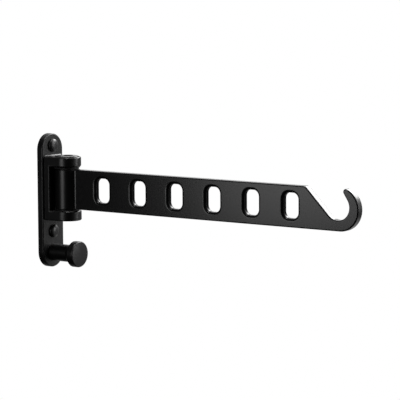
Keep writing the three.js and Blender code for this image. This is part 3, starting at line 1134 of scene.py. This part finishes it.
@dataclass
class Pivot:
    """The pivot bolt, the thrust washer and the two flanged bushes. Sizes in millimetres."""

    shank: float = 4.0
    head_thickness: float = 3.4
    head_edge: float = 0.55
    socket_flats: float = 8.0
    socket_depth: float = 1.9
    washer_edge: float = 0.15
    clearance: float = 0.3
    bush_sleeve: float = 6.0
    bush_flange: float = 0.8

    def build(self, paint: Paint) -> None:
        """Builds and dresses every piece.

        Args:
            paint: The materials by finish name.
        """
        self.bolt(paint["black_steel"])
        self.washer(paint["nylon"])
        for end, side in zip(ENDS, (1, -1)):
            self.bush(f"bush_{end}", side, paint["nylon"])

    def bolt(self, material: bpy.types.Material) -> None:
        """The bolt: a wide low head with a chamfered hexagon socket, and a plain shank."""
        low, high = box_mm("pivot_bolt")
        radius = (high.y - low.y) / 2
        centre = ((low.x + high.x) / 2, 0.0)
        under = high.z - self.head_thickness
        chamfer, dish, cone = 0.35, 0.18, 0.45
        mouth = self.socket_flats / math.sqrt(3) + chamfer
        corners = [
            (0.0, low.z, 0.0),
            (self.shank, low.z, 0.5),
            (self.shank, under, 0.0),
            (radius, under, 0.2),
            (radius, high.z - 0.35, self.head_edge),
            (mouth + 1.1, high.z, 1.0),
            (mouth + 0.9, high.z - dish, 0.0),
            (mouth, high.z - dish, 0.0),
            (mouth - chamfer, high.z - cone, 0.0),
            (0.0, high.z - cone, 0.0),
        ]
        obj = turned("visual_pivot_bolt", softened(corners, closed=False), Axis.Z, centre)
        socket = hexagon(self.socket_flats, centre[0])
        carve(obj, [prism("socket", socket, high.z - self.socket_depth, high.z + 1.0, upright)])

        def in_socket(at: Vector, _: Vector) -> float:
            """1 on the socket's walls and floor, which are painted in shade."""
            deep = under < at.z < high.z - 0.3
            return 1.0 if deep and math.dist(at[:2], centre) < mouth else 0.0

        # Painted shade: the socket's walls and floor are marked so their coat reflects little and they look
        # shaded.
        Finisher.mark(obj, "painted_recess_shade", in_socket)
        Finisher.place(obj, "pivot_bolt", Body.BRACKET, "pivot_black_steel", material, weighted=True)

    def washer(self, material: bpy.types.Material) -> None:
        """The thrust washer: a flat ring with broken edges."""
        low, high = box_mm("thrust_washer")
        centre = ((low.x + high.x) / 2, 0.0)
        outer, inner, edge = (high.y - low.y) / 2, self.shank + self.clearance, self.washer_edge
        corners = [(outer, low.z, edge), (outer, high.z, edge), (inner, high.z, edge), (inner, low.z, edge)]
        profile = softened(corners, closed=True, steps=3)
        obj = turned("visual_thrust_washer", profile, Axis.Z, centre, closed=True)
        Finisher.place(obj, "thrust_washer", Body.BRACKET, "washer_nylon", material)

    def bush(self, node: str, side: int, material: bpy.types.Material) -> None:
        """A bush: a sleeve with a flange at its outer end.

        Args:
            node: The bush's CAD node.
            side: 1 where the flange is at the top, -1 where it is at the bottom.
            material: Its finish.
        """
        low, high = box_mm(node)
        centre = ((low.x + high.x) / 2, 0.0)
        flange, bore = (high.y - low.y) / 2, self.shank + self.clearance
        outside, inside = (high.z, low.z) if side > 0 else (low.z, high.z)
        step = outside - side * self.bush_flange
        corners = [
            (bore, inside, 0.2),
            (self.bush_sleeve, inside, 0.3),
            (self.bush_sleeve, step, 0.0),
            (flange, step, 0.15),
            (flange, outside, 0.2),
            (bore, outside, 0.2),
        ]
        obj = turned(f"visual_{node}", softened(corners, closed=True, steps=3), Axis.Z, centre, closed=True)
        Finisher.place(obj, node, Body.ARM, "bush_nylon", material)


@dataclass
class SwingArm:
    """The barrel, the slotted arm with its hook, and the two weld beads. Sizes in millimetres."""

    edge: float = 1.0
    slot_count: int = 6
    slot_width: float = 13.5
    slot_height: float = 19.8
    slot_corner: float = 5.0
    slot_edge: float = 2.3
    first_slot_out: float = 38.3
    last_slot_inset: float = 13.7
    slot_rise: float = 0.5
    hook_radius: float = 16.9
    throat_radius: float = 10.15
    throat_shift: float = -1.75
    throat_floor: float = 8.4
    lip_lean: float = 33.0
    lip_tip: float = 2.3
    lead_radius: float = 11.8
    shoulder_radius: float = 4.0
    barrel_edge: float = 0.55
    barrel_bore: float = 4.8
    bush_seat: float = 6.3
    bush_depth: float = 11.0
    weld_radius: float = 2.6
    weld_end: float = 0.8
    weld_sunk: float = 0.25
    weld_steps: int = 65
    weld_flare: float = 0.35
    weld_ripple: float = 0.002
    weld_waves: float = 150.0
    # How strongly, and on which faces, shade is painted on the slot walls.
    slot_shade_gain: float = 2.2
    slot_shade_floor: Point = (0.6, 0.35)
    seat_gap: float = 0.04

    def build(self, paint: Paint) -> None:
        """Builds and dresses every piece.

        Args:
            paint: The materials by finish name.
        """
        self.low, self.high = box_mm("arm_plate")
        barrel_low, barrel_high = box_mm("barrel")
        self.barrel_radius = (barrel_high.y - barrel_low.y) / 2
        self.pivot_x = (barrel_low.x + barrel_high.x) / 2
        self.hook_x = self.high.x - self.hook_radius
        self.hook_z = self.low.z + self.hook_radius
        self.barrel(paint["barrel"])
        self.arm_plate(paint["arm"])
        for name, side in (("left", -1), ("right", 1)):
            self.weld(f"weld_{name}", side, paint["arm"])

    def barrel(self, material: bpy.types.Material) -> None:
        """The hinge tube, bored and stepped for its bushes."""
        low, high = box_mm("barrel")
        corners = [
            (self.barrel_radius, low.z, self.barrel_edge),
            (self.barrel_radius, high.z, self.barrel_edge),
            (self.bush_seat, high.z, 0.2),
            (self.bush_seat, high.z - self.bush_depth, 0.0),
            (self.barrel_bore, high.z - self.bush_depth, 0.0),
            (self.barrel_bore, low.z + self.bush_depth, 0.0),
            (self.bush_seat, low.z + self.bush_depth, 0.0),
            (self.bush_seat, low.z, 0.2),
        ]
        profile = softened(corners, closed=True)
        obj = turned("visual_barrel", profile, Axis.Z, (self.pivot_x, 0.0), closed=True)
        Finisher.place(obj, "barrel", Body.ARM, "arm_paint", material)

    def tip_centre(self) -> Point:
        """Centre of the lip's round end.

        Returns:
            The place from which it touches the lip's inner line and the hook's outer curve.
        """
        lean = math.radians(self.lip_lean)
        c, s = math.cos(lean), math.sin(lean)
        throat_z = self.low.z + self.throat_floor + self.throat_radius
        from_x = self.throat_shift + (self.throat_radius + self.lip_tip) * c
        from_z = throat_z - self.hook_z + (self.throat_radius + self.lip_tip) * s
        along = from_z * c - from_x * s
        reach = self.hook_radius - self.lip_tip
        length = -along + math.sqrt(along**2 - (from_x**2 + from_z**2 - reach**2))
        return self.hook_x + from_x - length * s, self.hook_z + from_z + length * c

    def shoulder_x(self) -> float:
        """Where the top edge would meet the 45 degree slope, along X."""
        foot = self.hook_x + self.throat_shift + self.low.z + self.throat_floor
        return foot - self.lead_radius * (math.sqrt(2) - 1) - self.high.z

    def outline(self) -> Outline:
        """The arm's outline.

        Returns:
            The line from the hinge, along the bottom, round the hook and back along the top.
        """
        low, high = self.low.z, self.high.z
        tip_x, tip_z = self.tip_centre()
        tip_angle = math.degrees(math.atan2(tip_z - self.hook_z, tip_x - self.hook_x))
        throat = (self.hook_x + self.throat_shift, low + self.throat_floor + self.throat_radius)
        floor = low + self.throat_floor
        lead = self.lead_radius
        shoulder_x = self.shoulder_x()
        run = self.shoulder_radius * math.tan(math.pi / 8)
        line = Outline()
        pieces = 41
        for i in range(pieces):
            line.corner(self.pivot_x + (self.hook_x - self.pivot_x) * i / pieces, low, 0, -1)
        line.arc((self.hook_x, self.hook_z), self.hook_radius, -90, tip_angle, 72)
        line.arc((tip_x, tip_z), self.lip_tip, tip_angle, 180 + self.lip_lean, 24)
        line.arc(throat, self.throat_radius, self.lip_lean, -90, 54, side=-1)
        line.arc((throat[0], floor + lead), lead, 270, 225, 20, side=-1)
        line.arc((shoulder_x - run, high - self.shoulder_radius), self.shoulder_radius, 45, 90, 12)
        x = shoulder_x - run
        for i in range(1, pieces + 1):
            line.corner(x + (self.pivot_x - x) * i / pieces, high, 0, 1)
        return self.without_repeats(line)

    @staticmethod
    def without_repeats(line: Outline) -> Outline:
        """Drops repeated points.

        Args:
            line: The outline.

        Returns:
            The outline with points that fall together kept once.
        """
        kept = Outline()
        for (x, y), (nx, ny) in zip(line.points, line.outward):
            if not kept.points or math.dist(kept.points[-1], (x, y)) >= 1e-5:
                kept.corner(x, y, nx, ny)
        return kept

    def slot(self, x: float, z: float) -> Outline:
        """One slot's outline.

        Args:
            x: The slot's middle along the arm.
            z: The slot's middle height.

        Returns:
            The outline, its outward side in the hole.
        """
        half_x = self.slot_width / 2 - self.slot_corner
        half_z = self.slot_height / 2 - self.slot_corner
        line = Outline()
        for cx, cz, start in ((1, -1, -90), (1, 1, 0), (-1, 1, 90), (-1, -1, 180)):
            line.arc((x + cx * half_x, z + cz * half_z), self.slot_corner, start, start + 90, 14, side=-1)
        return line

    def arm_plate(self, material: bpy.types.Material) -> None:
        """The arm: a bar with rounded edges, six slots with widened mouths, and the hook."""
        thickness = self.high.y - self.low.y
        middle_z = (self.low.z + self.high.z) / 2 + self.slot_rise
        first = self.pivot_x + self.first_slot_out
        last = self.shoulder_x() - self.last_slot_inset
        pitch = (last - first) / (self.slot_count - 1)

        def place(u: float, v: float, w: float) -> Vector:
            """From the arm's drawing to the frame."""
            return Vector((u, w - thickness / 2, v))

        section = rounded_section(thickness, self.edge, self.edge, 6)
        mouth = rounded_section(thickness, self.slot_edge, self.slot_edge, 8)
        lining = Shell()
        single = self.slot(0.0, 0.0)
        lining.strips([[place(x, y, height) for x, y in single.inset(inset)] for inset, height in mouth])
        row = SlotRow().run(
            lining.build("slot_lining"),
            {
                "Count": self.slot_count,
                "First": Vector((first, 0.0, middle_z)) * MM,
                "Step": Vector((pitch, 0.0, 0.0)) * MM,
                "Finish": material,
            },
        )
        slots = [self.slot(first + pitch * i, middle_z) for i in range(self.slot_count)]
        shell = slab(self.outline(), section, slots, mouth, place)
        shell.take(row)
        obj = shell.build("visual_arm_plate")
        seat = self.barrel_radius + self.seat_gap
        column = rod(seat, self.low.z - 5, self.high.z + 5)
        carve(obj, [turned("barrel seat", column, Axis.Z, (self.pivot_x, 0.0), steps=192)])
        self.mark_slot_shade(obj, first, pitch, middle_z)
        Finisher.place(obj, "arm_plate", Body.ARM, "arm_paint", material, weighted=True)

    def mark_slot_shade(self, obj: bpy.types.Object, first: float, pitch: float, middle_z: float) -> None:
        """Marks the walls inside the slots, where shade is painted: their coat reflects little, so they look
        shaded.

        Args:
            obj: The arm.
            first: The first slot's middle along the arm.
            pitch: The distance between slots.
            middle_z: The slots' middle height.
        """
        half = (self.high.y - self.low.y) / 2
        reach_x = self.slot_width / 2 + self.slot_edge + HOLD
        reach_z = self.slot_height / 2 + self.slot_edge + HOLD

        def level(at: Vector, normal: Vector) -> float:
            """How much shade is painted at one place."""
            index = min(self.slot_count - 1, max(0, round((at.x - first) / pitch)))
            if abs(at.x - first - pitch * index) > reach_x or abs(at.z - middle_z) > reach_z:
                return 0.0
            least, spread = self.slot_shade_floor
            upward = min(1.0, max(0.0, (normal.z - least) / spread))
            return min(1.0, self.slot_shade_gain * (1 - abs(at.y) / half)) * (1 - upward)

        # Painted shade on the slot walls, weaker on faces that look up.
        Finisher.mark(obj, "painted_recess_shade", level)

    def weld(self, node: str, side: int, material: bpy.types.Material) -> None:
        """A fillet of weld between the barrel and one face of the arm.

        Args:
            node: The weld's CAD node.
            side: -1 or 1, the side of the arm along Y.
            material: Its finish.
        """
        face = (self.high.y - self.low.y) / 2
        reach = self.barrel_radius + self.weld_radius
        centre_y = face + self.weld_radius
        centre_x = math.sqrt(reach**2 - centre_y**2)
        corner_x = math.sqrt(self.barrel_radius**2 - face**2)
        start = math.atan2(-centre_y, -centre_x)
        end = -math.pi / 2
        sunk, radius, steps = self.weld_sunk, self.weld_radius, 10
        points = [(corner_x - sunk, face - sunk), (centre_x, face - sunk)]
        for i in range(steps + 1):
            a = end + (start - end) * i / steps
            points.append((centre_x + radius * math.cos(a), centre_y + radius * math.sin(a)))
        inner = self.barrel_radius - sunk
        a = math.atan2(points[-1][1], points[-1][0])
        points.append((inner * math.cos(a), inner * math.sin(a)))
        local = [((x - corner_x) * MM, side * (y - face) * MM) for x, y in points]
        mesh = bpy.data.meshes.new(f"section of {node}")
        count = len(local)
        mesh.from_pydata([(x, y, 0.0) for x, y in local], [(i, (i + 1) % count) for i in range(count)], [])
        at = Vector((self.pivot_x + corner_x, side * face, 0.0))
        bead = WeldBead().run(
            add_object(mesh.name, mesh),
            {
                "Start": (at + Vector((0, 0, self.low.z + self.weld_end))) * MM,
                "End": (at + Vector((0, 0, self.high.z - self.weld_end))) * MM,
                "Steps": self.weld_steps,
                "Flare": self.weld_flare,
                "Ripple": self.weld_ripple,
                "Waves": self.weld_waves,
                "Finish": material,
            },
        )
        shell = Shell()
        shell.take(bead)
        obj = shell.build(f"visual_{node}")
        Finisher.place(obj, node, Body.ARM, "arm_paint", material)


# ------------------------------------------------------------------ stage, light and camera
@dataclass(frozen=True)
class Lamp:
    """A soft rectangular light aimed at a place, sizes in metres."""

    name: str
    place: Triple
    target: Triple
    size: Point
    power: float

    def build(self) -> None:
        """Adds the light to the scene."""
        data = bpy.data.lights.new(self.name, "AREA")
        data.shape = "RECTANGLE"
        data.size, data.size_y = self.size
        data.energy = self.power
        obj = add_object(self.name, data)
        obj.location = self.place
        obj.rotation_euler = (Vector(self.target) - Vector(self.place)).to_track_quat("-Z", "Y").to_euler()
        obj.visible_camera = False


@dataclass(frozen=True)
class Stage:
    """Plain pale floor and surroundings, soft lights and the camera."""

    floor_z: float = -0.75
    front_light: float = 0.012
    back_light: float = 0.45
    far_floor: float = 0.5
    side_light: float = 0.55
    sky_lift: float = 1.5
    sky_grey: float = 0.8
    side_direction: Triple = (-0.584, 0.803, 0.115)
    floor_reach: float = 60.0
    floor_fade: Point = (0.05, 0.9)
    far_fade: Point = (1.1, 1.9)
    sky_fade: Point = (-0.35, 0.75)
    sky_rise: Point = (0.0, 0.22)
    side_fade: Point = (0.80, 0.97)
    sensor: float = 36.0
    clip: Point = (0.05, 300.0)
    azimuth: float = 36.07
    elevation: float = 6.587
    roll: float = -0.3215
    field_of_view: float = 9.682
    camera_place: Triple = (1.2436, -1.4938, 0.22305)
    lamps: tuple[Lamp, ...] = (
        Lamp("key box", (-0.045, -0.47, 0.02), (0.10, 0.0, 0.01), (0.20, 0.20), 0.34),
        Lamp("rim strip", (1.00, 0.64, 0.30), (0.05, 0.0, 0.0), (0.20, 0.90), 3.2),
        Lamp("overhead box", (0.10, -0.10, 1.00), (0.02, 0.0, 0.03), (0.25, 0.25), 4.0),
        Lamp("floor card", (0.30, 1.00, -0.70), (0.30, 0.0, 0.0), (0.90, 0.40), 0.35),
        Lamp("back panel", (0.64, 0.92, 0.46), (0.05, 0.0, 0.0), (0.50, 0.34), 0.9),
        Lamp("top box", (0.30, 0.95, 0.78), (0.15, 0.0, 0.0), (0.90, 0.55), 17.0),
    )

    def build(self) -> None:
        """Adds the floor, the surroundings, the lights and the camera."""
        self.floor()
        self.surroundings()
        for lamp in self.lamps:
            lamp.build()
        self.camera()
        view = bpy.context.scene.view_settings
        view.view_transform = "Standard"
        view.look = "None"

    def floor(self) -> None:
        """A wide pale floor that looks even to the camera and gives little light to the metal."""
        mesh = bpy.data.meshes.new("floor")
        r, z = self.floor_reach, self.floor_z
        mesh.from_pydata([(-r, -r, z), (r, -r, z), (r, r, z), (-r, r, z)], [], [(0, 1, 2, 3)])
        add_object("floor", mesh)
        material = bpy.data.materials.new("pale_floor")
        material.use_nodes = True
        material.node_tree.nodes.clear()
        mesh.materials.append(material)
        work = Wiring(material.node_tree)
        place = work.add("ShaderNodeNewGeometry").outputs["Position"]
        depth = work.add("ShaderNodeSeparateXYZ", {0: place}).outputs["Y"]
        behind = work.remap(depth, self.floor_fade, (self.front_light, self.back_light), smooth=True)
        far = work.remap(depth, self.far_fade, (1.0, self.far_floor), smooth=True)
        dimmed = work.calculate("MULTIPLY", behind, far)
        seen = work.add("ShaderNodeLightPath").outputs["Is Camera Ray"]
        glow = work.add("ShaderNodeEmission", {"Strength": work.remap(seen, (0.0, 1.0), (dimmed, 1.0))})
        work.add("ShaderNodeOutputMaterial", {"Surface": glow.outputs["Emission"]})

    def surroundings(self) -> None:
        """White to the camera; to the metal, dim in front and paler behind and above."""
        world = bpy.data.worlds.new("studio")
        bpy.context.scene.world = world
        world.use_nodes = True
        world.node_tree.nodes.clear()
        work = Wiring(world.node_tree)
        way = work.add("ShaderNodeTexCoord").outputs["Generated"]
        parts = work.add("ShaderNodeSeparateXYZ", {0: way}).outputs
        behind = work.remap(parts["Y"], self.sky_fade, (self.front_light, self.back_light), smooth=True)
        lift = work.remap(parts["Z"], self.sky_rise, (1.0, self.sky_lift), smooth=True)
        towards = work.add("ShaderNodeVectorMath", {0: way, 1: self.side_direction}, operation="DOT_PRODUCT")
        side = work.remap(towards.outputs["Value"], self.side_fade, (0.0, self.side_light), smooth=True)
        total = work.calculate("ADD", work.calculate("MULTIPLY", behind, lift), side)
        seen = work.add("ShaderNodeLightPath").outputs["Is Camera Ray"]
        strength = work.remap(seen, (0.0, 1.0), (total, 1.0 / self.sky_grey))
        grey = (self.sky_grey, self.sky_grey, self.sky_grey, 1.0)
        glow = work.add("ShaderNodeBackground", {"Strength": strength, "Color": grey})
        work.add("ShaderNodeOutputWorld", {"Surface": glow.outputs["Background"]})

    def camera(self) -> None:
        """The camera at the viewing angle, with a long lens."""
        a, e, r = (math.radians(v) for v in (self.azimuth, self.elevation, self.roll))
        back = Vector((math.sin(a) * math.cos(e), -math.cos(a) * math.cos(e), math.sin(e)))
        right = Vector((math.cos(a), math.sin(a), 0.0))
        up = back.cross(right)
        right, up = right * math.cos(r) + up * math.sin(r), up * math.cos(r) - right * math.sin(r)
        data = bpy.data.cameras.new("camera")
        data.sensor_width = self.sensor
        data.lens = self.sensor / 2 / math.tan(math.radians(self.field_of_view) / 2)
        data.clip_start, data.clip_end = self.clip
        obj = add_object("camera", data)
        turn = Matrix((right, up, back)).transposed().to_4x4()
        obj.matrix_world = Matrix.Translation(self.camera_place) @ turn
        bpy.context.scene.camera = obj


def finishes(effects: Effects) -> Paint:
    """Every finish of the hook.

    Args:
        effects: The shared effects.

    Returns:
        The materials by a short name.
    """
    black = (0.0032, 0.0032, 0.0034)
    rubbed = (0.030, 0.030, 0.031)
    smooth = (0.006, 0.006, 0.0065)
    zinc, bright = (0.5, 0.51, 0.53), (0.66, 0.66, 0.66)
    nylon, pale = (0.018, 0.018, 0.019), (0.04, 0.04, 0.041)
    listed = {
        "plate": Finish("powder_coat_plate", black, rubbed, roughness=(0.33, 0.41)),
        "fork": Finish("powder_coat_fork", black, rubbed, roughness=(0.31, 0.37), grain_depth=0.0025),
        "arm": Finish("powder_coat_arm", black, rubbed, specular=0.02, coat=0.96, roughness=(0.24, 0.30)),
        "barrel": Finish("powder_coat_barrel", black, rubbed, roughness=(0.29, 0.35), grain_depth=0.0025),
        "peg": Finish("powder_coat_peg", black, rubbed, roughness=(0.32, 0.40)),
        "cap": Finish("gloss_cap_black", smooth, rubbed, specular=0.65, roughness=(0.32, 0.38), wear=0.1),
        "black_steel": Finish(
            "blackened_steel",
            smooth,
            rubbed,
            specular=0.05,
            coat=1.0,
            coat_roughness=0.3,
            roughness=(0.28, 0.36),
            dust=0.05,
            turned=True,
        ),
        "zinc": Finish("zinc_plated_steel", zinc, bright, metallic=1.0, roughness=(0.26, 0.4), dust=0.05),
        "nylon": Finish("moulded_nylon", nylon, pale, roughness=(0.48, 0.6), wear=0.15),
    }
    return {name: finish.material(effects) for name, finish in listed.items()}


def main() -> None:
    """Builds the hook's sub-assemblies, its stage and its camera."""
    logging.basicConfig(level=logging.INFO, format="%(name)s: %(message)s")
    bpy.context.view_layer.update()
    paint = finishes(Effects())
    Bracket().build(paint)
    Pivot().build(paint)
    SwingArm().build(paint)
    Stage().build()


if __name__ == "__main__":
    main()
